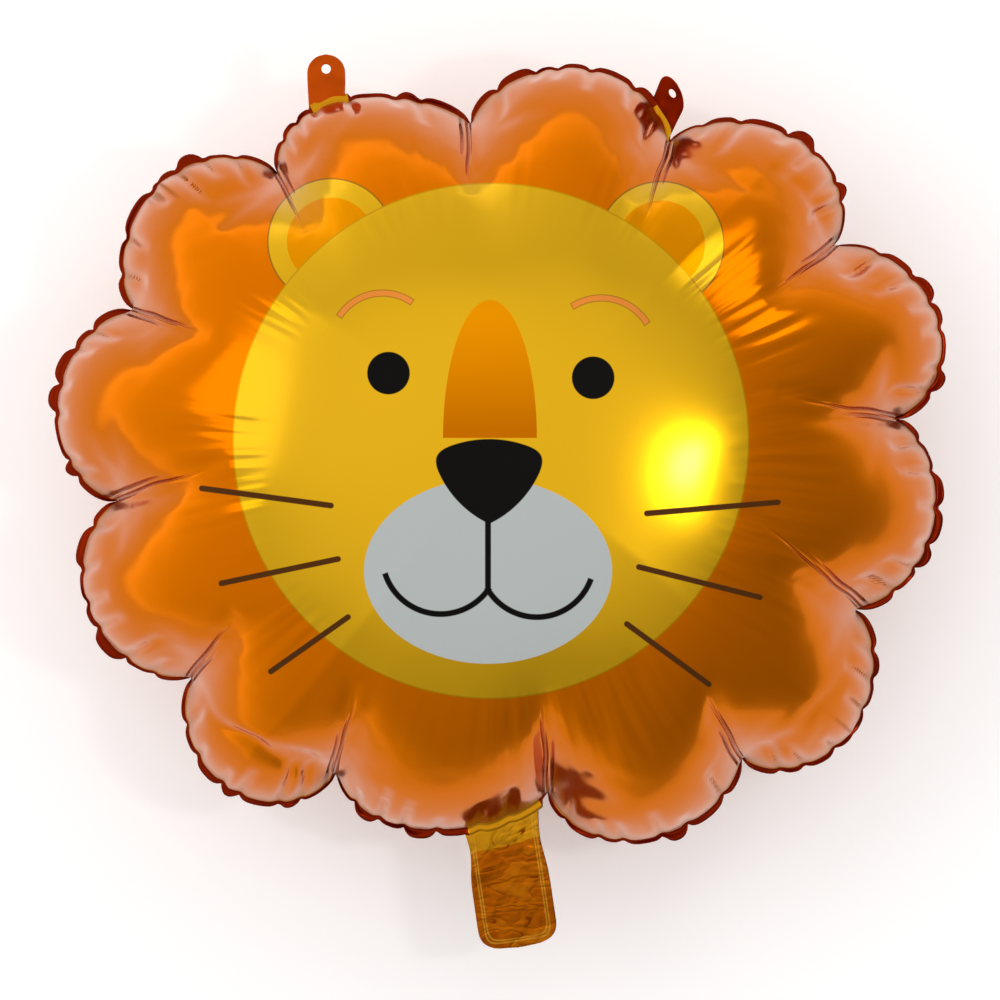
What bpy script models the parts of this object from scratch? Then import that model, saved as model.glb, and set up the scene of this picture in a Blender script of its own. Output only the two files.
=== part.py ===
"""Lion foil balloon, blown up and lying on its back with the lion's face up.

Two sheets of metallised foil are welded along a mane-shaped rim. The same sheets run on past the rim
as two hanging tabs and as the filling neck. Each sheet is modelled as a solid that reaches from its
outer skin to the plane of the weld, because a sealed balloon has no open inside.

Metres, +Z up, the top of the lion's head towards +Y, and the origin on the ground under the middle of
the whole outline.
"""

import functools
import math

import bmesh
import bpy
from mathutils import Matrix, Vector

# Rim of the mane, seen from above. Each row is one petal, going round from +X towards +Y: the bearing
# in degrees of the valley before it, and as shares of the mane's width that valley's distance from the
# middle of the face, how far the petal bulges past the straight line between its two valleys, and how
# far its crown is drawn on towards the next valley.
MANE_WIDTH = 0.5575
PETALS = (
    (5.2, 0.4556, 0.0753, -0.0108),
    (32.1, 0.4538, 0.0717, -0.0143),
    (62.0, 0.4108, 0.0646, -0.0072),
    (95.3, 0.3874, 0.0538, 0.0305),
    (128.1, 0.4126, 0.0753, -0.0072),
    (158.4, 0.4538, 0.0682, 0.0036),
    (186.9, 0.4448, 0.0682, -0.0036),
    (215.9, 0.4377, 0.0735, 0.0054),
    (243.0, 0.4126, 0.0466, -0.0179),
    (277.6, 0.3946, 0.0628, -0.0090),
    (308.3, 0.4466, 0.0717, -0.0072),
    (336.7, 0.4466, 0.0592, 0.0018),
)

# Depth of the blown-up sheets, from the weld out to the highest point of each.
FRONT_DEPTH = 0.137
BACK_DEPTH = 0.137
DOME_FULLNESS = 2.4
REST_SPOT_RADIUS = 0.048

# The petals fade into one smooth dome, starting at this share of the way out to the weld.
PETALS_START = 0.60
PETALS_BLUR = 23.0

# Foil, and the weld around the rim. The real foil is 0.03 mm, which is too thin to hand on as a solid.
FOIL = 0.0004
SHEET_GAP = 0.0003
WELD_WIDTH = 0.0055

# Puckers where the blown-up sheet shortens the rim.
PUCKERS_PER_PETAL = 5
PUCKER_DEPTH = 0.0035
PUCKER_REACH = 0.045

# Flaps of both sheets that run on past the rim. For each: the petal that carries it, how far along
# that petal, how many degrees it leans away from the way its rim faces, how many degrees it is bent
# up, and how square its far end is to it, from 0, in line with its root, to 1.
LEFT_TAB = {"petal": 3, "share": 0.52, "lean": -24.0, "bend": 8.0, "square": 1.0}
RIGHT_TAB = {"petal": 2, "share": 0.075, "lean": 34.0, "bend": 50.0, "square": 0.1}
NECK = {"petal": 8, "share": 0.825, "lean": -19.0, "bend": -7.0, "square": 1.0}

# Hanging tabs, each with a punched hole.
TAB_WIDTH = 0.0235
TAB_LENGTH = 0.029
TAB_END_LENGTH = 0.0115
TAB_END_FULLNESS = 2.0
TAB_HOLE_DIAMETER = 0.0058
TAB_HOLE_TO_END = 0.009

# Filling neck, a flat sleeve below the chin.
NECK_WIDTH = 0.049
NECK_LENGTH = 0.079
NECK_END_LENGTH = 0.016
NECK_END_FULLNESS = 3.0

# Fineness of the mesh.
STEPS_PER_PUCKER = 4
FINE_RINGS = 3
COARSE_RINGS = 5
COARSENING = 3
TAB_ROWS = 7
NECK_ROWS = 6
HOLE_SIDES = 16

STEPS_PER_PETAL = PUCKERS_PER_PETAL * STEPS_PER_PUCKER
STEPS = len(PETALS) * STEPS_PER_PETAL
CAP_TURN = math.pi / 2
LEAST_END = 0.08
SQUARED_BY = 0.5
PUNCH_DEPTH = 0.008
SHARP_ANGLE = 40.0
MERGE = 1e-6

# Finish of the foil, an orange lacquer over bright metal.
FOIL_ORANGE = (0.80, 0.26, 0.02, 1.0)
FOIL_METALLIC = 1.0
FOIL_ROUGHNESS = 0.18


def clear_scene():
    for obj in list(bpy.data.objects):
        bpy.data.objects.remove(obj)


def foil_material(name):
    material = bpy.data.materials.new(name)
    material.use_nodes = True
    shader = material.node_tree.nodes["Principled BSDF"]
    shader.inputs["Base Color"].default_value = FOIL_ORANGE
    shader.inputs["Metallic"].default_value = FOIL_METALLIC
    shader.inputs["Roughness"].default_value = FOIL_ROUGHNESS
    return material


# Outline


def valley_point(petal):
    bearing, distance, _, _ = PETALS[petal % len(PETALS)]
    angle = math.radians(bearing)
    return Vector((math.cos(angle), math.sin(angle), 0.0)) * (distance * MANE_WIDTH)


def petal_point(petal, share):
    """The point at this share of the circular arc between a petal's two valleys."""
    start, end = valley_point(petal), valley_point(petal + 1)
    _, _, bulge_share, drawn_share = PETALS[petal % len(PETALS)]
    bulge, drawn = bulge_share * MANE_WIDTH, drawn_share * MANE_WIDTH
    half = (end - start).length / 2
    radius = (half**2 + bulge**2) / (2 * bulge)
    half_turn = 2 * math.atan2(bulge, half)
    onward = (end - start).normalized()
    outward = Vector((onward.y, -onward.x, 0.0))
    angle = (2 * share - 1) * half_turn
    point = (start + end) / 2 + outward * (radius * math.cos(angle) - radius + bulge)
    return point + onward * (radius * math.sin(angle) + drawn * math.sin(math.pi * share))


def smooth_rim(step):
    return petal_point(step // STEPS_PER_PETAL, (step % STEPS_PER_PETAL) / STEPS_PER_PETAL)


def pucker(step, distance):
    """How far a pucker pulls the foil in at this distance inside the rim."""
    if step % STEPS_PER_PUCKER:
        return 0.0
    return PUCKER_DEPTH * max(0.0, 1 - distance / PUCKER_REACH)


def rim_point(step):
    smooth = smooth_rim(step)
    return smooth - smooth.normalized() * pucker(step, 0.0)


def weld_point(step):
    """The inner edge of the weld, where the two sheets part."""
    smooth = smooth_rim(step)
    return smooth - smooth.normalized() * (WELD_WIDTH + pucker(step, WELD_WIDTH))


# Blown-up sheet


@functools.cache
def weld_distance(step):
    return smooth_rim(step).length - WELD_WIDTH


@functools.cache
def blurred_weld_distance(step):
    """The weld's distance from the middle with the petals averaged out."""
    way = smooth_rim(step)
    total = weight_total = 0.0
    for other in range(STEPS):
        weight = math.exp(-((way.angle(smooth_rim(other)) / math.radians(PETALS_BLUR)) ** 2) / 2)
        total += weight * weld_distance(other)
        weight_total += weight
    return total / weight_total


def dome_point(step, turn, depth):
    """A point of the sheet above the weld, with z as its height over the weld's outer face."""
    share = math.sin(turn) ** (2 / DOME_FULLNESS)
    fade = max(0.0, (share - PETALS_START) / (1 - PETALS_START))
    fade = fade * fade * (3 - 2 * fade)
    reach = blurred_weld_distance(step) * (1 - fade) + weld_distance(step) * fade
    distance = reach * share - pucker(step, WELD_WIDTH + reach * (1 - share))
    point = smooth_rim(step).normalized() * distance
    point.z = depth * math.cos(turn)
    return point


def rest_turn():
    """The turn from the pole at which the back's flat resting spot ends."""
    mean_distance = sum(weld_distance(step) for step in range(STEPS)) / STEPS
    return math.asin((REST_SPOT_RADIUS / mean_distance) ** (DOME_FULLNESS / 2))


class Sheet:
    """One foil sheet under construction. side is 1 for the front and -1 for the back."""

    def __init__(self, side, depth, pole_turn):
        self.side = side
        self.depth = depth - self.outer_face()
        self.pole_turn = pole_turn
        self.mesh = bmesh.new()
        self.step = self.mesh.verts.layers.int.new("step")
        self.outer = self.mesh.verts.layers.int.new("outer")

    @staticmethod
    def inner_face():
        return SHEET_GAP / 2

    @staticmethod
    def outer_face():
        return SHEET_GAP / 2 + FOIL

    def put(self, vert, point):
        vert.co = Vector((point.x, point.y, self.side * point.z))

    def start_rim(self):
        ring = bmesh.ops.create_circle(self.mesh, segments=STEPS, radius=1.0)["verts"]
        for step, vert in enumerate(ring):
            vert[self.step] = step
            vert[self.outer] = 1
            self.put(vert, rim_point(step) + Vector((0, 0, self.outer_face())))
        return list(self.mesh.edges)

    def extrude(self, edges, place, outer=1):
        """Extrudes a loop of edges and puts each new vertex where place says for its step."""
        made = bmesh.ops.extrude_edge_only(self.mesh, edges=edges)["geom"]
        verts = [item for item in made if isinstance(item, bmesh.types.BMVert)]
        for vert in verts:
            vert[self.outer] = outer
            self.put(vert, place(vert[self.step]))
        bmesh.ops.remove_doubles(self.mesh, verts=verts, dist=MERGE)
        kept = {vert for vert in verts if vert.is_valid}
        return [edge for edge in self.mesh.edges if kept.issuperset(edge.verts)]

    def add_dome(self, rim):
        """The weld's outer face and the blown-up skin, from the rim in to the pole."""
        lift = Vector((0, 0, self.outer_face()))
        loop = self.extrude(rim, lambda step: weld_point(step) + lift)
        rings = FINE_RINGS + COARSE_RINGS
        for ring in range(1, rings + 1):
            turn = CAP_TURN + (self.pole_turn - CAP_TURN) * ring / rings
            group = 1 if ring <= FINE_RINGS else COARSENING

            def place(step, turn=turn, group=group):
                shared = (step + group // 2) // group * group % STEPS
                return dome_point(shared, turn, self.depth) + lift

            loop = self.extrude(loop, place)
        pole = Vector((0, 0, self.depth * math.cos(self.pole_turn))) + lift
        self.extrude(loop, lambda step: pole)

    def add_edge_and_floor(self, rim):
        """The cut edge of the foil, and the flat face against the other sheet."""
        drop = Vector((0, 0, self.inner_face()))
        foot = self.extrude(rim, lambda step: rim_point(step) + drop, outer=0)
        self.extrude(foot, lambda step: drop, outer=0)

    def edge_faces(self, first, count):
        """The faces of the foil's cut edge along this many steps of the rim."""
        wanted = {(first + n) % STEPS for n in range(count + 1)}
        return [
            face
            for face in self.mesh.faces
            if {vert[self.step] for vert in face.verts} <= wanted
            and {vert[self.outer] for vert in face.verts} == {0, 1}
        ]

    def add_flap(self, first, count, rows):
        """Grows a flat flap out of the rim. Each row gives a point for an across and a height."""
        faces = self.edge_faces(first, count)
        for row in rows:
            made = bmesh.ops.extrude_face_region(self.mesh, geom=faces)["geom"]
            bmesh.ops.delete(self.mesh, geom=[f for f in faces if f.is_valid], context="FACES_ONLY")
            faces = [item for item in made if isinstance(item, bmesh.types.BMFace)]
            for vert in {vert for face in faces for vert in face.verts}:
                across = ((vert[self.step] - first) % STEPS) * 2 / count - 1
                height = self.outer_face() if vert[self.outer] else self.inner_face()
                vert.co = row(across, self.side * height)

    def finish(self, name, material, lift):
        bmesh.ops.recalc_face_normals(self.mesh, faces=self.mesh.faces)
        bmesh.ops.translate(self.mesh, vec=lift, verts=self.mesh.verts)
        data = bpy.data.meshes.new(name)
        self.mesh.to_mesh(data)
        self.mesh.free()
        data.materials.append(material)
        data.shade_smooth()
        data.set_sharp_from_angle(angle=math.radians(SHARP_ANGLE))
        obj = bpy.data.objects.new(name, data)
        bpy.context.scene.collection.objects.link(obj)
        return obj


# Flaps: the tabs and the neck


def flap_root(flap, width):
    """The first step of a flap's root, its step count, its middle, and its across and outward ways."""
    petal = flap["petal"]
    middle = petal * STEPS_PER_PETAL + flap["share"] * STEPS_PER_PETAL
    step_length = (smooth_rim(round(middle) + 1) - smooth_rim(round(middle) - 1)).length / 2
    count = max(2, round(width / step_length))
    last = (petal + 1) * STEPS_PER_PETAL
    first = min(max(round(middle - count / 2), petal * STEPS_PER_PETAL), last - count)
    start, end = rim_point(first % STEPS), rim_point((first + count) % STEPS)
    across = (end - start).normalized()
    outward = Vector((across.y, -across.x, 0.0))
    return first % STEPS, count, (start + end) / 2, across, outward


def narrowing(along, length, end_length, fullness):
    """The share of a flap's width that is left at a distance from its root, past which it rounds off."""
    into_end = max(0.0, along - (length - end_length)) / end_length
    return max(LEAST_END, (1 - into_end**fullness) ** (1 / fullness))


def flap_rows(flap, width, length, end_length, fullness, row_count):
    """The row functions that add_flap takes, for a flap that bends up or down at its root."""
    _, _, root, root_way, rim_way = flap_root(flap, width)
    lean = Matrix.Rotation(math.radians(flap["lean"]), 3, "Z")
    bend = math.radians(flap["bend"])
    outward = lean @ rim_way
    bent = outward * math.cos(bend) + Vector((0, 0, math.sin(bend)))
    squared = lean @ root_way
    end_way = root_way.lerp(squared, flap["square"]).normalized()
    normal = end_way.cross(bent).normalized()
    normal *= math.copysign(1.0, normal.z)
    rows = []
    for number in range(1, row_count + 1):
        along = length * math.sin(number / row_count * CAP_TURN)
        square = min(1.0, along / (length * SQUARED_BY))
        way = root_way.lerp(end_way, square).normalized()
        half = width / 2 * narrowing(along, length, end_length, fullness)

        def row(across, height, middle=root + bent * along, way=way, half=half):
            return middle + way * (across * half) + normal * height

        rows.append(row)
    return rows


def tab_rows(flap):
    return flap_rows(flap, TAB_WIDTH, TAB_LENGTH, TAB_END_LENGTH, TAB_END_FULLNESS, TAB_ROWS)


def neck_rows():
    return flap_rows(NECK, NECK_WIDTH, NECK_LENGTH, NECK_END_LENGTH, NECK_END_FULLNESS, NECK_ROWS)


def tab_hole_cutter(name, flap, lift):
    """A round cutter through the middle of a tab's round end, square to the bent tab."""
    row = tab_rows(flap)
    before, after = row[-2](0, 0), row[-1](0, 0)
    along = (after - before).normalized()
    normal = (row[-1](0, 1) - row[-1](0, 0)).normalized()
    mesh = bmesh.new()
    bmesh.ops.create_cone(
        mesh,
        cap_ends=True,
        segments=HOLE_SIDES,
        radius1=TAB_HOLE_DIAMETER / 2,
        radius2=TAB_HOLE_DIAMETER / 2,
        depth=PUNCH_DEPTH,
    )
    data = bpy.data.meshes.new(name)
    mesh.to_mesh(data)
    mesh.free()
    cutter = bpy.data.objects.new(name, data)
    bpy.context.scene.collection.objects.link(cutter)
    cutter.location = after - along * TAB_HOLE_TO_END + lift
    cutter.rotation_mode = "QUATERNION"
    cutter.rotation_quaternion = normal.to_track_quat("Z", "X")
    cutter.hide_render = True
    cutter.display_type = "WIRE"
    return cutter


def cut(obj, cutter):
    modifier = obj.modifiers.new("Hole", "BOOLEAN")
    modifier.operation = "DIFFERENCE"
    modifier.object = cutter


# Whole balloon


def build_sheet(side, depth, pole_turn):
    sheet = Sheet(side, depth, pole_turn)
    rim = sheet.start_rim()
    sheet.add_dome(rim)
    sheet.add_edge_and_floor(rim)
    for flap, width, rows in (
        (LEFT_TAB, TAB_WIDTH, tab_rows(LEFT_TAB)),
        (RIGHT_TAB, TAB_WIDTH, tab_rows(RIGHT_TAB)),
        (NECK, NECK_WIDTH, neck_rows()),
    ):
        first, count, _, _, _ = flap_root(flap, width)
        sheet.add_flap(first, count, rows)
    return sheet


def middle_of(sheet):
    xs = [vert.co.x for vert in sheet.mesh.verts]
    ys = [vert.co.y for vert in sheet.mesh.verts]
    return Vector(((min(xs) + max(xs)) / 2, (min(ys) + max(ys)) / 2, 0.0))


def main():
    clear_scene()
    front = build_sheet(1, FRONT_DEPTH, 0.0)
    back = build_sheet(-1, BACK_DEPTH, rest_turn())
    lowest = min(vert.co.z for vert in back.mesh.verts)
    lift = Vector((0, 0, -lowest)) - middle_of(front)
    front_foil = front.finish("front_foil", foil_material("printed foil"), lift)
    back_foil = back.finish("back_foil", foil_material("plain foil"), lift)
    for name, flap in (("left_tab_hole", LEFT_TAB), ("right_tab_hole", RIGHT_TAB)):
        cutter = tab_hole_cutter(name, flap, lift)
        cut(front_foil, cutter)
        cut(back_foil, cutter)


main()
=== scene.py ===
import math

import bmesh
import bpy
import numpy as np
from mathutils import Matrix, Vector, noise


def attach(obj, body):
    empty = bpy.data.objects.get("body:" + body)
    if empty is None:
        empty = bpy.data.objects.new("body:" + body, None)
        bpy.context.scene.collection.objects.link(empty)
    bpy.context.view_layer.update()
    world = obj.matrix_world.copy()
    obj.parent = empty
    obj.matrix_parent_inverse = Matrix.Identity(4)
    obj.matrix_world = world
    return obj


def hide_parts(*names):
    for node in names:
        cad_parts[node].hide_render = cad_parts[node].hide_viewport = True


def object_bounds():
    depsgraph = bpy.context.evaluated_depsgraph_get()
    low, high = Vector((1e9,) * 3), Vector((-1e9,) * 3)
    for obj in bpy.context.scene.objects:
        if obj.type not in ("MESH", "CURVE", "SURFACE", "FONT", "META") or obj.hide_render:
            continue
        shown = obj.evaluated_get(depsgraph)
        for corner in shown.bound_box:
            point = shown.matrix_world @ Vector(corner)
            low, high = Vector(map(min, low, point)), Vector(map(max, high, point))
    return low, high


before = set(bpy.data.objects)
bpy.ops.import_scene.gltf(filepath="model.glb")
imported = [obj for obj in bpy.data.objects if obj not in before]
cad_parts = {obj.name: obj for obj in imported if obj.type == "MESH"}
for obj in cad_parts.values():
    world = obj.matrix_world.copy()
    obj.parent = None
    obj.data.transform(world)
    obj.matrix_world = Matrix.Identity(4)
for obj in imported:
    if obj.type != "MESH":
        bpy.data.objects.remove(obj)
cad_low, cad_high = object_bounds()

# Front and back sheet, cut, welded and blown up
# The real balloon is two sheets of metallised nylon film, cut to one outline of twelve petals, laid
# face to face and heat-welded along the rim. Filled with gas, the flat sheets swell, the rim is drawn
# in, and the film that is left over puckers along the weld and creases at the valleys between petals.
MANE_WIDTH = 0.5575
PETALS = (  # for each petal, starting at +X and going round to +Y, as shares of the mane's width:
    # bearing of the valley before it, valley distance, bulge, how far its crown is drawn on,
    # and the length and lean of the crease that runs inwards from that valley
    (5.2, 0.4556, 0.0753, -0.0108, 0.133, -14),
    (32.1, 0.4538, 0.0717, -0.0143, 0.104, 6),
    (62.0, 0.4108, 0.0646, -0.0072, 0.116, 10),
    (95.3, 0.3874, 0.0538, 0.0305, 0.090, -5),
    (128.1, 0.4126, 0.0753, -0.0072, 0.084, -11),
    (158.4, 0.4538, 0.0682, 0.0036, 0.099, 2),
    (186.9, 0.4448, 0.0682, -0.0036, 0.129, 10),
    (215.9, 0.4377, 0.0735, 0.0054, 0.095, 15),
    (243.0, 0.4126, 0.0466, -0.0179, 0.109, 13),
    (277.6, 0.3946, 0.0628, -0.0090, 0.118, -5),
    (308.3, 0.4466, 0.0717, -0.0072, 0.102, -9),
    (336.7, 0.4466, 0.0592, 0.0018, 0.160, -17),
)
RINGS = 60  # cells of the film's grid from the middle to the rim
FINER = 2  # cells that each of them becomes once the film is blown up
WELD_WIDTH = 0.0055
WELD_RINGS = 2
FLAT_TO_BLOWN = 1.17  # how much wider the flat film is than the blown outline
PETALS_START = 0.55  # share of the way to the rim where the grid begins to follow the petals
PETALS_BLUR = 23.0
START_HEIGHT = 0.03
START_NOISE = 0.0005
WELD_NOISE = 0.00005
CLOTH_SCALE = 4.0  # the simulation is steadier on a bigger model
CLOTH_FRAMES = 30
CLOTH_PRESSURE = 10.0
FOIL = 0.0004
SHEET_GAP = 0.0003
FACE_CENTRE = Vector((0.000265, 0.02767, 0.0))
STEPS = 8 * RINGS * FINER
STEPS_PER_PETAL = STEPS // len(PETALS)


def petal_outline():
    """The rim seen from above, as one complex number for each step, from the middle of the face."""
    points = []
    for petal, (bearing, distance, bulge, drawn, _, _) in enumerate(PETALS):
        next_bearing, next_distance = PETALS[(petal + 1) % len(PETALS)][:2]
        start = distance * MANE_WIDTH * np.exp(1j * math.radians(bearing))
        end = next_distance * MANE_WIDTH * np.exp(1j * math.radians(next_bearing))
        bulge *= MANE_WIDTH
        half = abs(end - start) / 2
        radius = (half**2 + bulge**2) / (2 * bulge)
        half_turn = 2 * math.atan2(bulge, half)
        onward = (end - start) / abs(end - start)
        share = np.arange(STEPS_PER_PETAL) / STEPS_PER_PETAL
        angle = (2 * share - 1) * half_turn
        outward = -1j * onward
        arc = outward * (radius * np.cos(angle) - radius + bulge)
        shift = drawn * MANE_WIDTH * np.sin(np.pi * share)
        points.append((start + end) / 2 + arc + onward * (radius * np.sin(angle) + shift))
    return np.concatenate(points)


def at_step(values, step):
    """Reads a list that has one value for each step of the rim, between its steps too."""
    step = np.asarray(step) % STEPS
    before = np.floor(step).astype(int)
    part = step - before
    return values[before % STEPS] * (1 - part) + values[(before + 1) % STEPS] * part


def smooth_along_rim(values, steps):
    """A list with one value for each step of the rim, blurred over this many steps."""
    away = np.arange(STEPS)
    away = np.minimum(away, STEPS - away)
    weights = np.exp(-((away / steps) ** 2) / 2)
    blurred = np.fft.ifft(np.fft.fft(values) * np.fft.fft(weights / weights.sum()))
    return blurred if np.iscomplexobj(values) else blurred.real


def eased(share):
    """A share from 0 to 1 that starts and ends gently."""
    share = np.clip(share, 0, 1)
    return share * share * (3 - 2 * share)


outline = petal_outline()
turn_between = np.angle((outline / abs(outline))[:, None] / (outline / abs(outline))[None, :])
round_weights = np.exp(-((turn_between / math.radians(PETALS_BLUR)) ** 2) / 2)
round_outline = (round_weights * abs(outline)).sum(axis=1) / round_weights.sum(axis=1)


def grid(half_size, rings):
    """For each point of a square grid, its share of the way to the rim and its step along the rim."""
    numbers = np.arange(-half_size, half_size + 1)
    across, up = np.meshgrid(numbers, numbers, indexing="ij")
    ring = np.maximum(abs(across), abs(up))
    sides = [(across == ring) & (up > -ring), up == ring, across == -ring]
    along = np.select(sides, [up, 2 * ring - across, 4 * ring - up], 6 * ring + across)
    ring_steps = np.maximum(8 * ring, 1)
    return ring / rings, along % ring_steps * STEPS / ring_steps


def flat_place(share, step):
    """Where a point of the uncut film lies in the flat balloon."""
    rim = at_step(outline, step)
    inner = np.minimum(share, 1)
    fade = eased((inner - PETALS_START) / (1 - PETALS_START))
    reach = at_step(round_outline, step) * (1 - fade) + abs(rim) * fade
    beyond = np.maximum(share - 1, 0) * RINGS / WELD_RINGS * WELD_WIDTH
    return rim / abs(rim) * (reach * inner * FLAT_TO_BLOWN + beyond)


def grid_sheet(half_size, places):
    """A sheet as a square grid of points, each laid at its place. The layers keep a point's number
    and its distance from the middle point in rings."""
    sheet = bmesh.new()
    number_of = sheet.verts.layers.int.new("number")
    ring_of = sheet.verts.layers.int.new("ring")
    bmesh.ops.create_grid(sheet, x_segments=2 * half_size, y_segments=2 * half_size, size=half_size)
    for vert in sheet.verts:
        i, j = round(vert.co.x), round(vert.co.y)
        vert[number_of] = (i + half_size) * (2 * half_size + 1) + j + half_size
        vert[ring_of] = max(abs(i), abs(j))
        vert.co = places[i + half_size, j + half_size]
    return sheet


def film_places(share, step, side):
    """The sheet's points before the gas goes in: nearly flat, just parted, and a little uneven."""
    flat = flat_place(share, step)
    dome = START_HEIGHT * np.sqrt(np.clip(1 - share**2, 0, 1))
    parted = dome + draw.normal(0, START_NOISE, share.shape)
    height = np.where(share < 1, side * parted, draw.normal(0, WELD_NOISE, share.shape))
    return np.stack([flat.real, flat.imag, height], axis=-1) * CLOTH_SCALE


draw = np.random.default_rng(3)
OUTER = RINGS + WELD_RINGS
film = grid_sheet(OUTER, film_places(*grid(OUTER, RINGS), 1))
back_film = grid_sheet(RINGS, film_places(*grid(RINGS, RINGS), -1))
bmesh.ops.reverse_faces(back_film, faces=back_film.faces)
back_mesh = bpy.data.meshes.new("back_film")
back_film.to_mesh(back_mesh)
back_film.free()
ring_of = film.verts.layers.int["ring"]
number_of = film.verts.layers.int["number"]
rim_verts = [vert for vert in film.verts if vert[ring_of] == RINGS]
rim_at = {divmod(vert[number_of], 2 * OUTER + 1): vert for vert in rim_verts}
front_count = len(film.verts)
film.from_mesh(back_mesh)
film.verts.ensure_lookup_table()
joined = {}
for vert in film.verts[front_count:]:
    i, j = divmod(vert[number_of], 2 * RINGS + 1)
    if vert[ring_of] == RINGS:
        joined[vert] = rim_at[i + WELD_RINGS, j + WELD_RINGS]
    vert[number_of] += front_count
bmesh.ops.weld_verts(film, targetmap=joined)
film_mesh = bpy.data.meshes.new("film")
film.to_mesh(film_mesh)
film.free()
blown = bpy.data.objects.new("film", film_mesh)
bpy.context.scene.collection.objects.link(blown)


def read_attribute(mesh, name):
    """A whole number for each of the mesh's points."""
    values = np.empty(len(mesh.vertices), np.int32)
    mesh.attributes[name].data.foreach_get("value", values)
    return values


def read_places(mesh):
    """The places of the mesh's points, one in each row."""
    places = np.empty(len(mesh.vertices) * 3)
    mesh.vertices.foreach_get("co", places)
    return places.reshape(-1, 3)


def blow_up(obj):
    """Fills the flat balloon with gas and gives the places of its points once it is tight."""
    inside = obj.vertex_groups.new(name="inside")
    filled = np.nonzero(read_attribute(obj.data, "ring") <= RINGS)[0]
    inside.add(filled.tolist(), 1.0, "REPLACE")
    cloth = obj.modifiers.new("Cloth", "CLOTH")
    settings = cloth.settings
    settings.quality = 6
    settings.mass = 0.1
    settings.tension_stiffness = 80
    settings.compression_stiffness = 20
    settings.shear_stiffness = 20
    settings.bending_stiffness = 0.02
    settings.tension_damping = 5
    settings.compression_damping = 5
    settings.shear_damping = 5
    settings.bending_damping = 0.5
    settings.air_damping = 8
    settings.use_pressure = True
    settings.uniform_pressure_force = CLOTH_PRESSURE
    settings.vertex_group_pressure = "inside"
    settings.effector_weights.gravity = 0
    cloth.collision_settings.use_collision = False
    cloth.point_cache.frame_start = 1
    cloth.point_cache.frame_end = CLOTH_FRAMES + 1
    for number in range(1, CLOTH_FRAMES + 1):
        bpy.context.scene.frame_set(number)
    evaluated = obj.evaluated_get(bpy.context.evaluated_depsgraph_get())
    places = read_places(evaluated.data) / CLOTH_SCALE
    obj.modifiers.remove(cloth)
    bpy.context.scene.frame_set(1)
    return places


places = blow_up(blown)
numbers = read_attribute(film_mesh, "number")
by_number = np.zeros((front_count + (2 * RINGS + 1) ** 2, 3))
by_number[numbers] = places
bpy.data.objects.remove(blown)


def doubled(values):
    """Puts a value between each two neighbours along the first axis, on a cubic through four."""
    before = 2 * values[:1] - values[1:2]
    after = 2 * values[-1:] - values[-2:-1]
    padded = np.concatenate([before, values, after])
    middles = (9 * (padded[1:-2] + padded[2:-1]) - padded[:-3] - padded[3:]) / 16
    woven = np.empty((2 * len(values) - 1, *values.shape[1:]))
    woven[::2], woven[1::2] = values, middles
    return woven


# The two sheets as finer square grids, on one rim, without the bumps of the coarse grid
front_grid = by_number[:front_count].reshape(2 * OUTER + 1, 2 * OUTER + 1, 3)
front_grid = front_grid[WELD_RINGS:-WELD_RINGS, WELD_RINGS:-WELD_RINGS]
back_grid = by_number[front_count:].reshape(2 * RINGS + 1, 2 * RINGS + 1, 3)
share, step = grid(RINGS, RINGS)
back_grid[share == 1] = front_grid[share == 1]
SMOOTH_MANE_OVER = 0.0045
SMOOTH_FACE_OVER = 0.013
MANE_SHARES = (0.5, 0.75)
cell = abs(outline).mean() / RINGS


def smooth_over(places, width):
    """The sheet without bumps smaller than a width; its rim stays as it is."""
    smooth = places.copy()
    for _ in range(round(2 * (width / cell) ** 2)):
        for axis in (0, 1):
            inner = smooth.swapaxes(0, axis)
            inner[1:-1, 1:-1] = (inner[:-2, 1:-1] + 2 * inner[1:-1, 1:-1] + inner[2:, 1:-1]) / 4
    return smooth


def smoothed(places):
    """The sheet without the small bumps that so coarse a grid gives it, smoothest over the face."""
    in_mane = eased((share - MANE_SHARES[0]) / (MANE_SHARES[1] - MANE_SHARES[0]))[..., None]
    face = smooth_over(places, SMOOTH_FACE_OVER)
    return face + (smooth_over(places, SMOOTH_MANE_OVER) - face) * in_mane


sheets = [
    doubled(doubled(smoothed(places)).swapaxes(0, 1)).swapaxes(0, 1)
    for places in (front_grid, back_grid)
]
FINE = RINGS * FINER
share, step = grid(FINE, FINE)
rim = np.nonzero(share == 1)
in_order = np.argsort(step[rim])
rim = rim[0][in_order], rim[1][in_order]

# The simulated weld is laid level and onto the outline that the solids have
# What the gas leaves uncertain is where the weld settles, so its slow bends are taken out and its
# quick puckers stay. Bends count as slow over some 10 degrees round the rim, and drifts over 2.6.
LEVEL_OVER = STEPS * 10.5 / 360
FIT_OVER = STEPS * 2.625 / 360
LEVEL_FADE = 3
FIT_FADE = 6
weld_line = outline * (1 - WELD_WIDTH / abs(outline))
rim_places = sheets[0][rim]
weld_bends = smooth_along_rim(rim_places[:, 2], LEVEL_OVER)
move = smooth_along_rim(weld_line - rim_places[:, 0] - 1j * rim_places[:, 1], FIT_OVER)
slow_move = smooth_along_rim(move, LEVEL_OVER)
for places in sheets:
    places[..., 2] -= at_step(weld_bends, step) * share**LEVEL_FADE
    moved = at_step(slow_move, step) * share**2 + at_step(move - slow_move, step) * share**FIT_FADE
    places[..., 0] += moved.real
    places[..., 1] += moved.imag

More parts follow.
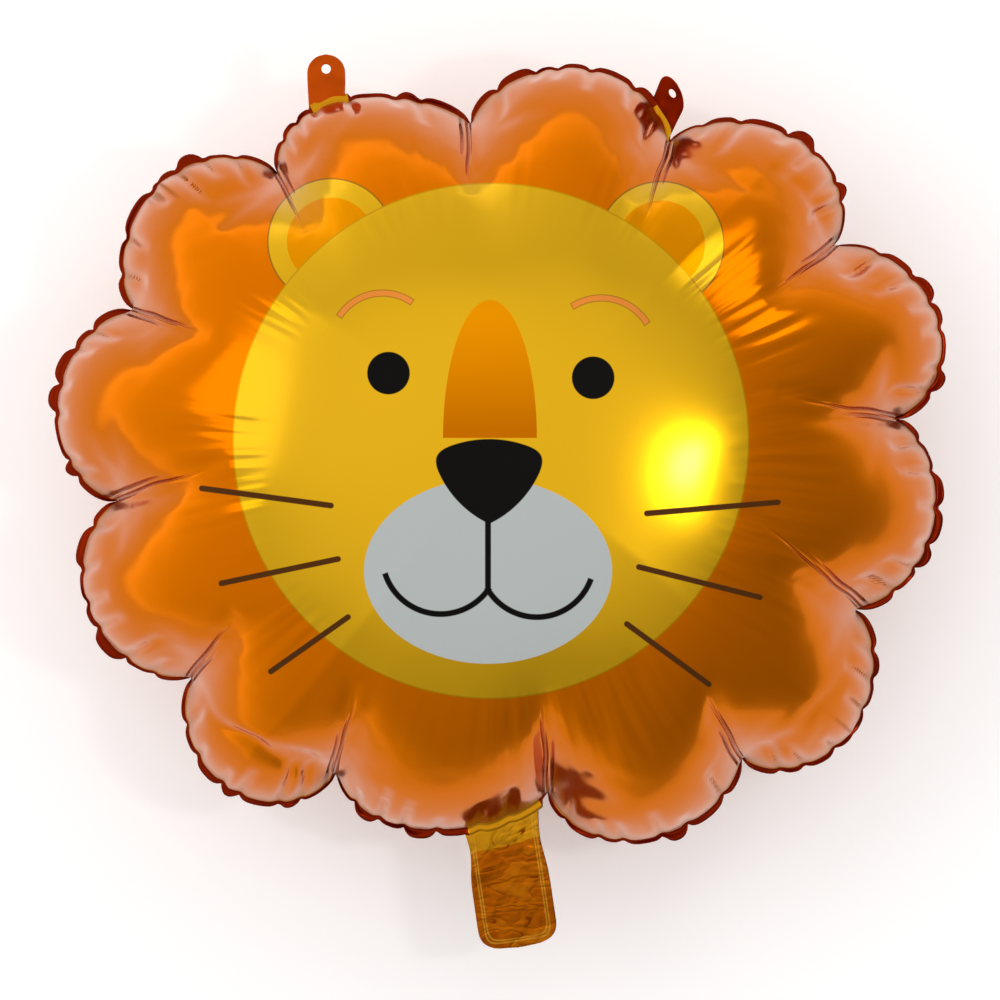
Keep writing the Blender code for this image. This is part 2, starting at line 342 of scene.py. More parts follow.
# Heights, as full near the rim as real foil balloons are
# A point's share of the top's height is raised along a power curve, steep close to the weld, and then
# drawn towards an even dome, because so coarse a film buckles more than the real one.
FRONT_DEPTH = 0.137
WELD_HEIGHT = cad_high.z - FRONT_DEPTH
FULLNESS_POWER = 0.54
FULLNESS_START = 0.02
DOME_FULLNESS = 2.4
CALMED = 0.6


def fuller(height):
    """The share of the top's height that a point of this simulated share gets."""
    start = FULLNESS_START**FULLNESS_POWER
    raised = (np.clip(height, 0, 1) + FULLNESS_START) ** FULLNESS_POWER - start
    return raised / ((1 + FULLNESS_START) ** FULLNESS_POWER - start)


even_dome = np.sqrt(np.clip(1 - share**DOME_FULLNESS, 0, 1))
for side, places in zip((1, -1), sheets):
    height = places[..., 2] * side
    swollen = fuller(height / height.max())
    calm = swollen + (even_dome - swollen) * CALMED
    places[..., 2] = side * (FRONT_DEPTH - FOIL) * calm / calm.max()

# Puckers along the weld and creases inwards from the valleys
# The weld is shorter than the film that it holds, which gathers in puckers of 12 to 40 mm, six to a
# petal. The creases are deepest in the valleys, where the two petals press against each other.
PUCKERS_PER_PETAL = 6
PUCKERS_START = 0.09
PUCKER_DRIFT = 0.24
PUCKER_LENGTHS = (0.012, 0.040)
PUCKER_HALF_WIDTH = 0.0034
PUCKER_DEEP = 0.32
PUCKER_PULL = 0.0015
PUCKER_PULL_FROM = 0.9
CREASE_HALF_WIDTH = 0.0055
CREASE_DEPTH = 0.0035
CREASE_FULL_HEIGHT = 0.03
CREASE_TAPER = 0.5
CREASE_STRETCH = 1.2
step_length = abs(np.diff(outline)).mean()
rim_reach = abs(outline).mean()
pucker_steps = []
deepened = np.zeros(share.shape)
for petal in range(len(PETALS)):
    drift = draw.uniform(-PUCKER_DRIFT, PUCKER_DRIFT, PUCKERS_PER_PETAL)
    spread = (np.arange(PUCKERS_PER_PETAL) + 0.5 + drift) / PUCKERS_PER_PETAL
    for place in PUCKERS_START + (1 - 2 * PUCKERS_START) * spread:
        at = (petal + place) * STEPS_PER_PETAL
        pucker_steps.append(at)
        across = ((step - at + STEPS / 2) % STEPS - STEPS / 2) * step_length * share
        left = np.clip(1 - (1 - share) * rim_reach / draw.uniform(*PUCKER_LENGTHS), 0, 1)
        deepened = np.maximum(deepened, np.exp(-((across / PUCKER_HALF_WIDTH) ** 2)) * left)


def crease_depth(flat):
    """How deep the creases from the valleys are at each place."""
    depth = np.zeros(flat.shape)
    for bearing, distance, _, _, length, lean in PETALS:
        start = distance * MANE_WIDTH * np.exp(1j * math.radians(bearing))
        way = -np.exp(1j * math.radians(bearing + lean))
        local = (flat - start) / way
        left = np.clip(1 - abs(local.real) / (length * MANE_WIDTH * CREASE_STRETCH), 0, 1)
        depth = np.maximum(depth, np.exp(-((local.imag / CREASE_HALF_WIDTH) ** 2)) * left**CREASE_TAPER)
    return CREASE_DEPTH * depth


pull = deepened * PUCKER_PULL * (share > PUCKER_PULL_FROM)
for side, places in zip((1, -1), sheets):
    flat = places[..., 0] + 1j * places[..., 1]
    away = np.maximum(abs(flat), 1e-6)
    height = abs(places[..., 2]) * (1 - PUCKER_DEEP * deepened)
    height -= crease_depth(flat) * eased(height / CREASE_FULL_HEIGHT)
    places[..., 0] = places[..., 0] * (1 - pull / away) + FACE_CENTRE.x
    places[..., 1] = places[..., 1] * (1 - pull / away) + FACE_CENTRE.y
    places[..., 2] = WELD_HEIGHT + side * (height + SHEET_GAP / 2 + FOIL)

# Where the two hanging tabs and the filling neck leave the weld
# Each grows from a share of a petal's edge, leans and bends up by some degrees, and ends square to its
# own lean (1) or to its root (0).
LEFT_TAB = {"petal": 3, "share": 0.52, "lean": -16.5, "bend": 8.0, "square": 1.0}
RIGHT_TAB = {"petal": 2, "share": 0.075, "lean": 34.0, "bend": 50.0, "square": 0.1}
NECK = {"petal": 8, "share": 0.825, "lean": -9.5, "bend": -7.0, "square": 1.0}
TAB_WIDTH = 0.0235
TAB_LENGTH = 0.0275
TAB_END_LENGTH = 0.0115
TAB_END_FULLNESS = 2.0
TAB_HOLE_DIAMETER = 0.0058
TAB_HOLE_TO_END = 0.009
NECK_WIDTH = 0.049
NECK_LENGTH = 0.079
NECK_END_LENGTH = 0.016
NECK_END_FULLNESS = 3.0


def flap_root(flap, width):
    """The middle step of a flap's root and half its width in steps, kept within its petal."""
    middle = (flap["petal"] + flap["share"]) * STEPS_PER_PETAL
    around_it = abs(at_step(outline, middle + 1) - at_step(outline, middle - 1)) / 2
    half_steps = width / around_it / 2
    petal_end = (flap["petal"] + 1) * STEPS_PER_PETAL
    middle = min(max(middle, flap["petal"] * STEPS_PER_PETAL + half_steps), petal_end - half_steps)
    return middle, half_steps


# The welded band, scalloped between the puckers
# It stands out flat where the film is smooth and is drawn in where a pucker ends. A reach is how far it
# stands past the rim, and a share is that of its full width.
BAND_RINGS = 3
BAND_WIDTH = 0.0068
BAND_LEAST = 0.12
BAND_SHARES = (0.15, 1.05)
BAND_CROWN = 0.4
BAND_CUSP = 0.35
BAND_WAVE = 0.003
BAND_WAVE_OVER = 4
BAND_BLUR = 2
BAND_WAY_BLUR = 3
pucker_steps = np.array(pucker_steps)
gaps = (pucker_steps[None, :] - np.arange(STEPS)[:, None]) % STEPS
ahead = gaps.min(axis=1)
behind = STEPS - gaps.max(axis=1)
between = ahead / (ahead + behind)
scallop = np.clip(4 * between * (1 - between), 0, 1) ** BAND_CUSP
band_share = draw.uniform(*BAND_SHARES, len(pucker_steps))[np.argmin(gaps, axis=1)]
petal_share = np.arange(STEPS) % STEPS_PER_PETAL / STEPS_PER_PETAL
band_share = smooth_along_rim(band_share, BAND_BLUR) * np.sin(np.pi * petal_share) ** BAND_CROWN
band_reach = BAND_WIDTH * (BAND_LEAST + (1 - BAND_LEAST) * scallop * band_share)
sealed_steps = np.zeros(STEPS, bool)
for flap, width in ((LEFT_TAB, TAB_WIDTH), (RIGHT_TAB, TAB_WIDTH), (NECK, NECK_WIDTH)):
    middle, half_steps = flap_root(flap, width)
    sealed_steps |= abs(np.arange(STEPS) - middle) < half_steps
band_reach = np.where(sealed_steps, WELD_WIDTH, band_reach)
band_bend = smooth_along_rim(draw.normal(0, 1, STEPS), BAND_WAVE_OVER)
band_bend *= BAND_WAVE * scallop * ~sealed_steps
rim_line = sheets[0][rim][:, 0] + 1j * sheets[0][rim][:, 1]
slow_line = smooth_along_rim(rim_line, BAND_WAY_BLUR)
band_way = (np.roll(slow_line, -1) - np.roll(slow_line, 1)) * -1j
band_way /= abs(band_way)
CLOSING_EDGE = 0.99
CLOSING_RINGS = ((0.96, 2), (0.85, 8), (0.6, 24), (0.0, STEPS))  # reach, steps to a point
SAME_PLACE = 0.00001


def sheet_piece(name, side, places):
    """One sheet as a closed solid, from its skin and its half of the weld to the plane of the weld."""
    sheet = grid_sheet(FINE, places)
    number_of = sheet.verts.layers.int["number"]
    ring_of = sheet.verts.layers.int["ring"]
    steps = step.ravel()
    at_rim = {vert: round(steps[vert[number_of]]) for vert in sheet.verts if vert[ring_of] == FINE}
    loop = [edge for edge in sheet.edges if edge.is_boundary]
    skin = set(sheet.faces)

    def extruded(loop, at_rim):
        """Extrudes the open edge, and gives the new edge and the rim step of each of its points."""
        for vert, number in at_rim.items():
            vert[number_of] = number
        made = bmesh.ops.extrude_edge_only(sheet, edges=loop)["geom"]
        verts = [item for item in made if isinstance(item, bmesh.types.BMVert)]
        now = {vert: vert[number_of] for vert in verts}
        return [edge for edge in sheet.edges if all(vert in now for vert in edge.verts)], now

    for band in range(1, BAND_RINGS + 1):
        loop, at_rim = extruded(loop, at_rim)
        for vert, number in at_rim.items():
            out = rim_line[number] + band_way[number] * band_reach[number] * band / BAND_RINGS
            bend = band_bend[number] * band / BAND_RINGS
            vert.co = (out.real, out.imag, WELD_HEIGHT + side * (SHEET_GAP / 2 + FOIL) + bend)
    loop, at_rim = extruded(loop, at_rim)
    for vert in at_rim:
        vert.co.z -= side * FOIL
    underside = {number: vert.co.copy() for vert, number in at_rim.items()}
    middle = Vector((FACE_CENTRE.x, FACE_CENTRE.y, WELD_HEIGHT + side * SHEET_GAP / 2))
    loop, at_rim = extruded(loop, at_rim)
    for vert, number in at_rim.items():
        vert.co = middle.lerp(underside[number], CLOSING_EDGE)
        vert.co.z = middle.z
    level = {number: vert.co.copy() for vert, number in at_rim.items()}
    for reach, group in CLOSING_RINGS:
        loop, at_rim = extruded(loop, at_rim)
        for vert, number in at_rim.items():
            vert.co = middle.lerp(level[number // group * group], reach)
        bmesh.ops.remove_doubles(sheet, verts=list(at_rim), dist=SAME_PLACE)
        at_rim = {vert: number for vert, number in at_rim.items() if vert.is_valid}
        loop = [edge for edge in sheet.edges if all(vert in at_rim for vert in edge.verts)]
    for face in sheet.faces:
        if face not in skin:
            on_flap = all(sealed_steps[vert[number_of] % STEPS] for vert in face.verts)
            face.material_index = 2 if on_flap else 1
    if side < 0:
        for vert in sheet.verts:
            vert.co.z = max(vert.co.z, cad_low.z)
    bmesh.ops.recalc_face_normals(sheet, faces=sheet.faces)
    mesh = bpy.data.meshes.new(name)
    sheet.to_mesh(mesh)
    sheet.free()
    mesh.shade_smooth()
    piece = bpy.data.objects.new(name, mesh)
    bpy.context.scene.collection.objects.link(piece)
    return piece


front = sheet_piece("front_sheet", 1, sheets[0])
back = sheet_piece("back_sheet", -1, sheets[1])


def linear(hex_colour):
    """An sRGB hex colour as the linear values that a shader takes."""
    values = [int(hex_colour[n : n + 2], 16) / 255 for n in (1, 3, 5)]
    return [v / 12.92 if v <= 0.04045 else ((v + 0.055) / 1.055) ** 2.4 for v in values] + [1.0]


def add_node(tree, kind, inputs=(), **settings):
    """Adds one node. inputs gives a value or another node's output for each named or numbered input."""
    node = tree.nodes.new(kind)
    for name, value in settings.items():
        setattr(node, name, value)
    for key, value in dict(inputs).items():
        if isinstance(value, bpy.types.NodeSocket):
            tree.links.new(value, node.inputs[key])
        else:
            node.inputs[key].default_value = value
    return node


def new_material(name):
    """A material with its node tree and its shader."""
    material = bpy.data.materials.new(name)
    material.use_nodes = True
    return material, material.node_tree, material.node_tree.nodes["Principled BSDF"]


# The lion printed on the front sheet
# The print goes on the flat film before it is cut: satin inks that let the metal shine for the head and
# ears, a clear one for the bridge of the nose, closed inks for the muzzle, nose, eyes, mouth and
# whiskers. The places are those seen from straight above, in millimetres from the face's middle.
SEEN_FROM = 3.0
MILLIMETRES = 1000.0
HEAD = ((-5.6, 7.75), 159.7)
EARS = ((-104.8, 131.4), (99.8, 129.6))
EAR_RADIUS = 39.1
INNER_EAR_RADIUS = 27.3
EYES = ((-69.1, 49.5), (57.8, 46.6))
EYE_RADIUS = 13.2
BRIDGE = ((-6.2, 9.3), (29.1, 85.6))
MUZZLE = ((-7.4, -73.2), (76.9, 57.4))
NOSE_MIDDLE = (-6.7, 0.0)
NOSE_SIDE = ((-27.2, 13.9), 64.0)
NOSE_TOP = ((0.0, -61.4), 70.0)
NOSE_ROUNDING = 14.0
BROWS = (((-98.6, 86.2), (-72.5, 99.2), (-56.1, 94.5)), ((46.5, 91.8), (61.4, 96.1), (90.3, 81.8)))
BROW_WIDTH = 4.4
LIPS = (
    ((-70.7, -76.3), (-38.4, -99.8), (-7.4, -84.9)),
    ((-7.4, -84.9), (24.8, -101.7), (55.8, -79.7)),
)
LIP_LINE = ((-7.4, -42.8), (-7.4, -84.9))
LIP_WIDTH = 3.7
WHISKERS = (
    ((-184.8, -21.7), (-104.8, -32.6)),
    ((-172.7, -80.6), (-100.4, -65.7)),
    ((-142.0, -135.2), (-94.2, -101.7)),
    ((91.1, -37.5), (172.4, -30.4)),
    ((86.2, -70.7), (161.2, -89.3)),
    ((78.7, -106.0), (129.6, -143.2)),
)
WHISKER_WIDTH = 3.6
EDGE_SOFTNESS = 0.25
EDGE_LINE = 0.45


def fold_places(seen):
    """For each point, how far to the side of the nearest fold it lies, and its share of the way along
    it. The sides change sign from valley to valley, so that neighbours agree halfway between them."""
    flat = seen[:, 0] + 1j * seen[:, 1]
    bearings, distances, _, _, lengths, leans = np.array(PETALS).T
    outwards = np.exp(1j * np.radians(bearings))
    starts = distances * MANE_WIDTH * MILLIMETRES * outwards
    ways = -np.exp(1j * np.radians(bearings + leans))
    signs = (-1) ** np.arange(len(PETALS))
    valley = np.argmin(abs(np.angle(flat[:, None] / outwards)), axis=1)
    local = (flat - starts[valley]) / ways[valley]
    along = local.real / (lengths * MANE_WIDTH * MILLIMETRES)[valley]
    return np.stack([local.imag * signs[valley], along, np.zeros(len(flat))], axis=1)


for piece in (front, back):
    points = read_places(piece.data)
    across = points[:, :2] - np.array(FACE_CENTRE[:2])
    nearer = SEEN_FROM / (SEEN_FROM - (points[:, 2:] - WELD_HEIGHT))
    seen = np.concatenate([across * nearer, points[:, 2:]], axis=1) * MILLIMETRES
    for name, values in (("print", seen), ("fold", fold_places(seen))):
        layer = piece.data.attributes.new(name, "FLOAT_VECTOR", "POINT")
        layer.data.foreach_set("vector", values.astype(np.float32).ravel())


def calculate(operation, *values):
    """One step of arithmetic in the material being made, on numbers or on places."""
    on_places = any(isinstance(v, tuple) or getattr(v, "type", "") == "VECTOR" for v in values)
    kind = "ShaderNodeVectorMath" if on_places else "ShaderNodeMath"
    node = add_node(tree, kind, dict(enumerate(values)), operation=operation)
    gives_number = operation in ("LENGTH", "DOT_PRODUCT") or not on_places
    return node.outputs["Value" if gives_number else "Vector"]


def rise(value, start, end, smooth="LINEAR"):
    """0 where a value is at its start, and 1 from its end on."""
    inputs = {"Value": value, "From Min": start, "From Max": end}
    return add_node(tree, "ShaderNodeMapRange", inputs, interpolation_type=smooth).outputs[0]


def oval(middle, semi_axes, place=None):
    """Distance in millimetres outside an ellipse's edge, near enough for its edge to be crisp."""
    away = calculate("SUBTRACT", place or flat_print, (*middle, 0))
    length = calculate("LENGTH", calculate("DIVIDE", away, (*semi_axes, 1)))
    return calculate("MULTIPLY_ADD", length, min(semi_axes), -min(semi_axes))


def disc(middle, radius, place=None):
    """Distance outside a circle's edge."""
    return oval(middle, (radius, radius), place)


def turned(middle, way):
    """The print's place measured from a point, with X along a way."""
    angle = math.atan2(way.imag, way.real)
    away = calculate("SUBTRACT", flat_print, (middle.real, middle.imag, 0))
    inputs = {0: away, "Angle": -angle}
    return add_node(tree, "ShaderNodeVectorRotate", inputs, rotation_type="Z_AXIS").outputs[0]


def stroke(start, end, width):
    """Distance outside a straight stroke with round ends."""
    start, end = complex(*start), complex(*end)
    local = calculate("ABSOLUTE", turned((start + end) / 2, end - start))
    past = calculate("MAXIMUM", calculate("SUBTRACT", local, (abs(end - start) / 2, 0, 0)), (0, 0, 0))
    return calculate("SUBTRACT", calculate("LENGTH", past), width / 2)


def arc_stroke(start, through, end, width):
    """Distance outside a stroke bent along the circle through three points, with round ends."""
    start, through, end = complex(*start), complex(*through), complex(*end)
    ratio = (end - start) / (through - start)
    centre = start + (end - start) * (ratio - abs(ratio) ** 2) / (2j * ratio.imag) / ratio
    chord_middle = (start + end) / 2
    same_side = ((through - centre) / (chord_middle - centre)).real
    crown = (chord_middle - centre) * math.copysign(1, same_side)
    half_turn = abs(np.angle((end - centre) / crown))
    radius = abs(start - centre)
    signed = turned(centre, crown)
    forward = calculate("MULTIPLY", signed, (1, 0, 0))
    sideways = calculate("MULTIPLY", calculate("ABSOLUTE", signed), (0, 1, 0))
    local = calculate("ADD", forward, sideways)
    on_circle = calculate("ABSOLUTE", calculate("SUBTRACT", calculate("LENGTH", local), radius))
    past = calculate("DOT_PRODUCT", local, (-math.sin(half_turn), math.cos(half_turn), 0))
    corner = (radius * math.cos(half_turn), radius * math.sin(half_turn), 0)
    from_end = calculate("LENGTH", calculate("SUBTRACT", local, corner))
    distance = calculate("MINIMUM", calculate("MAXIMUM", on_circle, past), from_end)
    return calculate("SUBTRACT", distance, width / 2)


def nearest(distances):
    """Distance outside the nearest of several shapes."""
    found = distances[0]
    for distance in distances[1:]:
        found = calculate("MINIMUM", found, distance)
    return found


def covered(distance):
    """1 inside a shape and 0 outside it, with a crisp printed edge."""
    return rise(distance, EDGE_SOFTNESS, -EDGE_SOFTNESS)


def edge_of(distance):
    """1 on the thin darker line where one ink laps over the next."""
    return covered(calculate("SUBTRACT", calculate("ABSOLUTE", distance), EDGE_LINE))


def lay_ink(under, amount, hex_colour, surface=None):
    """Lays an ink over what is under it, given as its colour and its metal, roughness and coat."""
    colour, finish_under = under
    inputs = {"Factor": amount, 6: colour, 7: linear(hex_colour)}
    laid = add_node(tree, "ShaderNodeMix", inputs, data_type="RGBA").outputs[2]
    if surface is None:
        return laid, finish_under
    inputs = {"Factor": amount, 4: finish_under, 5: surface}
    return laid, add_node(tree, "ShaderNodeMix", inputs, data_type="VECTOR").outputs[1]


# The back sheet's film: metallised nylon, lacquered orange, without print
# Mirror-bright, with a slightly blurred reflection. Fine crinkles make it duller close to the weld,
# where its colour is painted paler as a painted reflection of the pale surround; ripples run outwards
# past the edge of the head, and two folds run inwards from each valley, each with a painted shade line.
BARE_ORANGE = "#ca6700"
# painted reflection: a paler orange laid on the film close to the weld
PAINTED_RIM_REFLECTION_ORANGE = "#b06a2c"
RIM_REFLECTION_HEIGHTS = (40.0, 0.0)
FILM = (1.0, 0.17, 0.0)
HAZED_FILM = (1.0, 0.45, 0.0)
RIPPLES_ROUND = HEAD[1]
RIPPLE_SPACING = 6.5
RIPPLE_STRETCH = 0.10
RIPPLE_DEPTH = 0.0012
RIPPLES_FROM = (140.0, 165.0)
RIPPLES_TO = (225.0, 190.0)
RIPPLES_LEAST = 0.15
PATCH_SPACING = 60.0
PATCH_SPREAD = (0.44, 0.56)
FOLD_WAVER = 5.0
FOLD_WAVER_SPACING = 28.0
FOLD_HALF_WIDTH = 2.2
FOLD_DEPTH = 0.0011
FOLD_FADE = (1.0, 0.55)
SECOND_FOLD_APART = 3.4
SECOND_FOLD_FADE = (0.65, 0.3)
# painted shade along each fold: its width, its strength and its dark red
FOLD_SHADE_LINE = 0.7
FOLD_SHADE_STRENGTH = 0.8
FOLD_SHADE_RED = "#7c2602"


def film_with_rim_reflection():
    """The bare film's ink, painted paler near the weld as a painted reflection of the pale surround, for
    the height of each point over or under the weld.
    """
    over_weld = calculate("ABSOLUTE", calculate("SUBTRACT", print_axes[2], WELD_HEIGHT * MILLIMETRES))
    # painted reflection: the colour turns to the paler orange towards the weld, and the finish duller
    rim_reflection = rise(over_weld, *RIM_REFLECTION_HEIGHTS, "SMOOTHSTEP")
    return lay_ink((linear(BARE_ORANGE), FILM), rim_reflection, PAINTED_RIM_REFLECTION_ORANGE, HAZED_FILM)


def ripples():
    """How high the fine ripples stand at each place, from -0.5 to 0.5."""
    from_middle = calculate("LENGTH", flat_print)
    around = calculate("MULTIPLY", calculate("NORMALIZE", flat_print), (RIPPLES_ROUND, RIPPLES_ROUND, 0))
    stretched = calculate("MULTIPLY", from_middle, RIPPLE_STRETCH)
    outwards = add_node(tree, "ShaderNodeCombineXYZ", {2: stretched}).outputs[0]
    place = calculate("ADD", around, outwards)
    inputs = {"Vector": place, "Scale": 1 / RIPPLE_SPACING, "Detail": 0.5}
    waves = add_node(tree, "ShaderNodeTexNoise", inputs)
    inputs = {"Vector": place, "Scale": 1 / PATCH_SPACING, "Detail": 0.0}
    patches = add_node(tree, "ShaderNodeTexNoise", inputs)
    patch = rise(patches.outputs[0], *PATCH_SPREAD)
    starts = rise(from_middle, *RIPPLES_FROM, "SMOOTHSTEP")
    ends = rise(from_middle, *RIPPLES_TO, "SMOOTHSTEP")
    patch = calculate("MULTIPLY_ADD", patch, 1 - RIPPLES_LEAST, RIPPLES_LEAST)
    strength = calculate("MULTIPLY", calculate("MULTIPLY", starts, ends), patch)
    return calculate("MULTIPLY", calculate("SUBTRACT", waves.outputs[0], 0.5), strength)


def folds():
    """How deep the two folds from each valley are at each place, and how much of their painted shade
    line.
    """
    fold = add_node(tree, "ShaderNodeAttribute", attribute_name="fold").outputs["Vector"]
    fold = add_node(tree, "ShaderNodeSeparateXYZ", {0: fold}).outputs
    inputs = {"Vector": flat_print, "Scale": 1 / FOLD_WAVER_SPACING, "Detail": 1.0}
    sway = add_node(tree, "ShaderNodeTexNoise", inputs).outputs[0]
    aside = calculate("ADD", fold[0], calculate("MULTIPLY_ADD", sway, FOLD_WAVER, -FOLD_WAVER / 2))
    depth, line = 0.0, 0.0
    for place, fade in ((0.0, FOLD_FADE), (SECOND_FOLD_APART, SECOND_FOLD_FADE)):
        distance = calculate("ABSOLUTE", calculate("SUBTRACT", aside, place))
        left = rise(fold[1], *fade, "SMOOTHSTEP")
        groove = rise(distance, FOLD_HALF_WIDTH, 0.0, "SMOOTHERSTEP")
        depth = calculate("MAXIMUM", depth, calculate("MULTIPLY", left, groove))
        stripe = rise(distance, FOLD_SHADE_LINE, FOLD_SHADE_LINE / 4)
        line = calculate("MAXIMUM", line, calculate("MULTIPLY", left, stripe))
    return depth, line


def finish_foil(ink, varying):
    """Puts the ink, its painted shade along the folds, ripples and folds on the shader, and of its finish
    what varies over the sheet.
    """
    colour, surface = ink
    depth, line = folds()
    # painted shade: a dark red line laid along each fold
    colour = lay_ink((colour, None), calculate("MULTIPLY", line, FOLD_SHADE_STRENGTH), FOLD_SHADE_RED)[0]
    tree.links.new(colour, shader.inputs["Base Color"])
    surface = add_node(tree, "ShaderNodeSeparateXYZ", {0: surface})
    for output, name in enumerate(("Metallic", "Roughness", "Coat Weight")):
        if name in varying:
            tree.links.new(surface.outputs[output], shader.inputs[name])
    bump = add_node(tree, "ShaderNodeBump", {"Height": ripples(), "Distance": RIPPLE_DEPTH})
    sunk = calculate("SUBTRACT", 1.0, depth)
    inputs = {"Height": sunk, "Distance": FOLD_DEPTH, "Normal": bump.outputs[0]}
    bump = add_node(tree, "ShaderNodeBump", inputs)
    tree.links.new(bump.outputs[0], shader.inputs["Normal"])


def start_foil(name):
    """A new foil material, and the printed place, height and flat place that its nodes start from."""
    material, tree, shader = new_material(name)
    place = add_node(tree, "ShaderNodeAttribute", attribute_name="print").outputs["Vector"]
    axes = add_node(tree, "ShaderNodeSeparateXYZ", {0: place}).outputs
    flat = add_node(tree, "ShaderNodeVectorMath", {0: place, 1: (1, 1, 0)}, operation="MULTIPLY")
    return material, tree, shader, axes, flat.outputs[0]


plain, tree, shader, print_axes, flat_print = start_foil("plain_nylon_foil")
finish_foil(film_with_rim_reflection(), ("Roughness",))
shader.inputs["Metallic"].default_value = 1.0

# The front sheet's film: the same, with the lion's inks
# The satin inks are metal-bright under a thin clear gloss that whitens the lights, the closed ones are
# flat colour. All are thin, so none stands up from the film.
HEAD_YELLOW = "#cb9b00"
HEAD_EDGE = "#b88400"
EAR_EDGE = "#8a5a10"
INNER_EAR = "#cf8000"
BRIDGE_ORANGE = "#d68400"
# painted shade: a darker orange for the foot of the bridge, and where it fades in
BRIDGE_FOOT_SHADE = "#b06000"
BRIDGE_SHADE_FADE = (85.0, 15.0)
MUZZLE_WHITE = "#aeb3b1"
BROW_EDGE = "#8a5a10"
BROW_ORANGE = "#d8802c"
WHISKER_BROWN = "#4a2808"
BLACK = "#080605"
SATIN = (1.0, 0.18, 0.22)
SATIN_COAT_ROUGHNESS = 0.13
CLOSED_INK = (0.0, 0.4, 0.0)
CLOSED_INK_GLOSS = 0.05

printed, tree, shader, print_axes, flat_print = start_foil("printed_nylon_foil")
head = disc(*HEAD)
ears = nearest([disc(middle, EAR_RADIUS) for middle in EARS])
inner_ears = nearest([disc(middle, INNER_EAR_RADIUS) for middle in EARS])
above_nose = calculate("SUBTRACT", BRIDGE[0][1], print_axes[1])
bridge = calculate("MAXIMUM", oval(*BRIDGE), above_nose)
muzzle = oval(*MUZZLE)
nose_place = calculate("SUBTRACT", flat_print, (*NOSE_MIDDLE, 0))
beside_nose = calculate("MULTIPLY", calculate("ABSOLUTE", nose_place), (1, 0, 0))
mirrored = calculate("ADD", beside_nose, calculate("MULTIPLY", nose_place, (0, 1, 0)))
nose = calculate("SMOOTH_MAX", disc(*NOSE_SIDE, mirrored), disc(*NOSE_TOP, mirrored), NOSE_ROUNDING)
eyes = nearest([disc(middle, EYE_RADIUS) for middle in EYES])
brows = nearest([arc_stroke(*brow, BROW_WIDTH) for brow in BROWS])
lips = nearest([stroke(*LIP_LINE, LIP_WIDTH)] + [arc_stroke(*lip, LIP_WIDTH) for lip in LIPS])
whiskers = nearest([stroke(*whisker, WHISKER_WIDTH) for whisker in WHISKERS])
bridge_cover = covered(bridge)

ink = film_with_rim_reflection()
ink = lay_ink(ink, covered(ears), HEAD_YELLOW, SATIN)
ink = lay_ink(ink, edge_of(ears), EAR_EDGE)
ink = lay_ink(ink, covered(inner_ears), INNER_EAR, FILM)
ink = lay_ink(ink, covered(head), HEAD_YELLOW, SATIN)
ink = lay_ink(ink, edge_of(head), HEAD_EDGE)
ink = lay_ink(ink, bridge_cover, BRIDGE_ORANGE, FILM)
# painted shade: the bridge's ink darker towards its foot
ink = lay_ink(ink, calculate("MULTIPLY", rise(print_axes[1], *BRIDGE_SHADE_FADE), bridge_cover), BRIDGE_FOOT_SHADE)
ink = lay_ink(ink, covered(muzzle), MUZZLE_WHITE, CLOSED_INK)
ink = lay_ink(ink, covered(brows), BROW_EDGE)
ink = lay_ink(ink, covered(calculate("ADD", brows, EDGE_LINE)), BROW_ORANGE)
ink = lay_ink(ink, covered(whiskers), WHISKER_BROWN, CLOSED_INK)
ink = lay_ink(ink, covered(nearest([nose, eyes, lips])), BLACK, CLOSED_INK)
finish_foil(ink, ("Metallic", "Roughness", "Coat Weight"))
shader.inputs["Coat Roughness"].default_value = SATIN_COAT_ROUGHNESS
shader.inputs["Specular IOR Level"].default_value = CLOSED_INK_GLOSS

# The weld round the rim
# The two sheets are melted together here in a band some 5 mm wide. It is thin, stiff and a little dull,
# and what shows of it past the puckers is dark red.
WELD_RED = "#701804"
WELD_ROUGHNESS = 0.25
welded, tree, shader = new_material("welded_nylon_foil")
shader.inputs["Base Color"].default_value = linear(WELD_RED)
shader.inputs["Metallic"].default_value = 1.0
shader.inputs["Roughness"].default_value = WELD_ROUGHNESS

# Sealed film of the neck
# Two sheets lie close here, so the film looks browner than the mane. It is crinkled by the sealing,
# with painted shade along the crinkles' grooves, two pressed lines a little inside its edge, and bright
# gold where it leaves the body.
SEALED_BROWNS = ((0.3, "#8a3e02"), (0.5, "#9e5004"), (0.7, "#b06208"))
SEALED_ROUGHNESS = 0.24
CRINKLE_SPACING = 0.011
CRINKLE_SLANT = 28.0
CRINKLE_STRETCH = (0.45, 1.0, 1.0)
CRINKLE_TWIST = 0.4
CRINKLE_DEPTH = 0.0025
CRINKLE_RIDGE = 0.08
# painted shade in the crinkles' grooves: its width and its dark brown
CRINKLE_SHADE_LINE = (0.02, 0.006)
CRINKLE_SHADE_BROWN = "#7a3404"
BREAKS_PER_METRE = 90.0
BREAKS = (0.5, 0.6)
GOLD = "#b87c10"
GOLD_TO = 0.018
GOLD_EDGE = 0.001
GOLD_SWAY = 0.008
SEAL_LINES = (0.0042, 0.0058)
SEAL_HALF_WIDTH = 0.0003
SEAL_CORNER = 0.012
SEAL_GOLD = "#c48c28"
SEAL_STRENGTH = 0.6
sealed, tree, shader = new_material("sealed_nylon_foil")
film_place = add_node(tree, "ShaderNodeAttribute", attribute_name="film").outputs["Vector"]
film_axes = add_node(tree, "ShaderNodeSeparateXYZ", {0: film_place}).outputs
inputs = {"Vector": film_place, "Rotation": (0, 0, math.radians(CRINKLE_SLANT)), "Scale": CRINKLE_STRETCH}
slanted = add_node(tree, "ShaderNodeMapping", inputs).outputs[0]
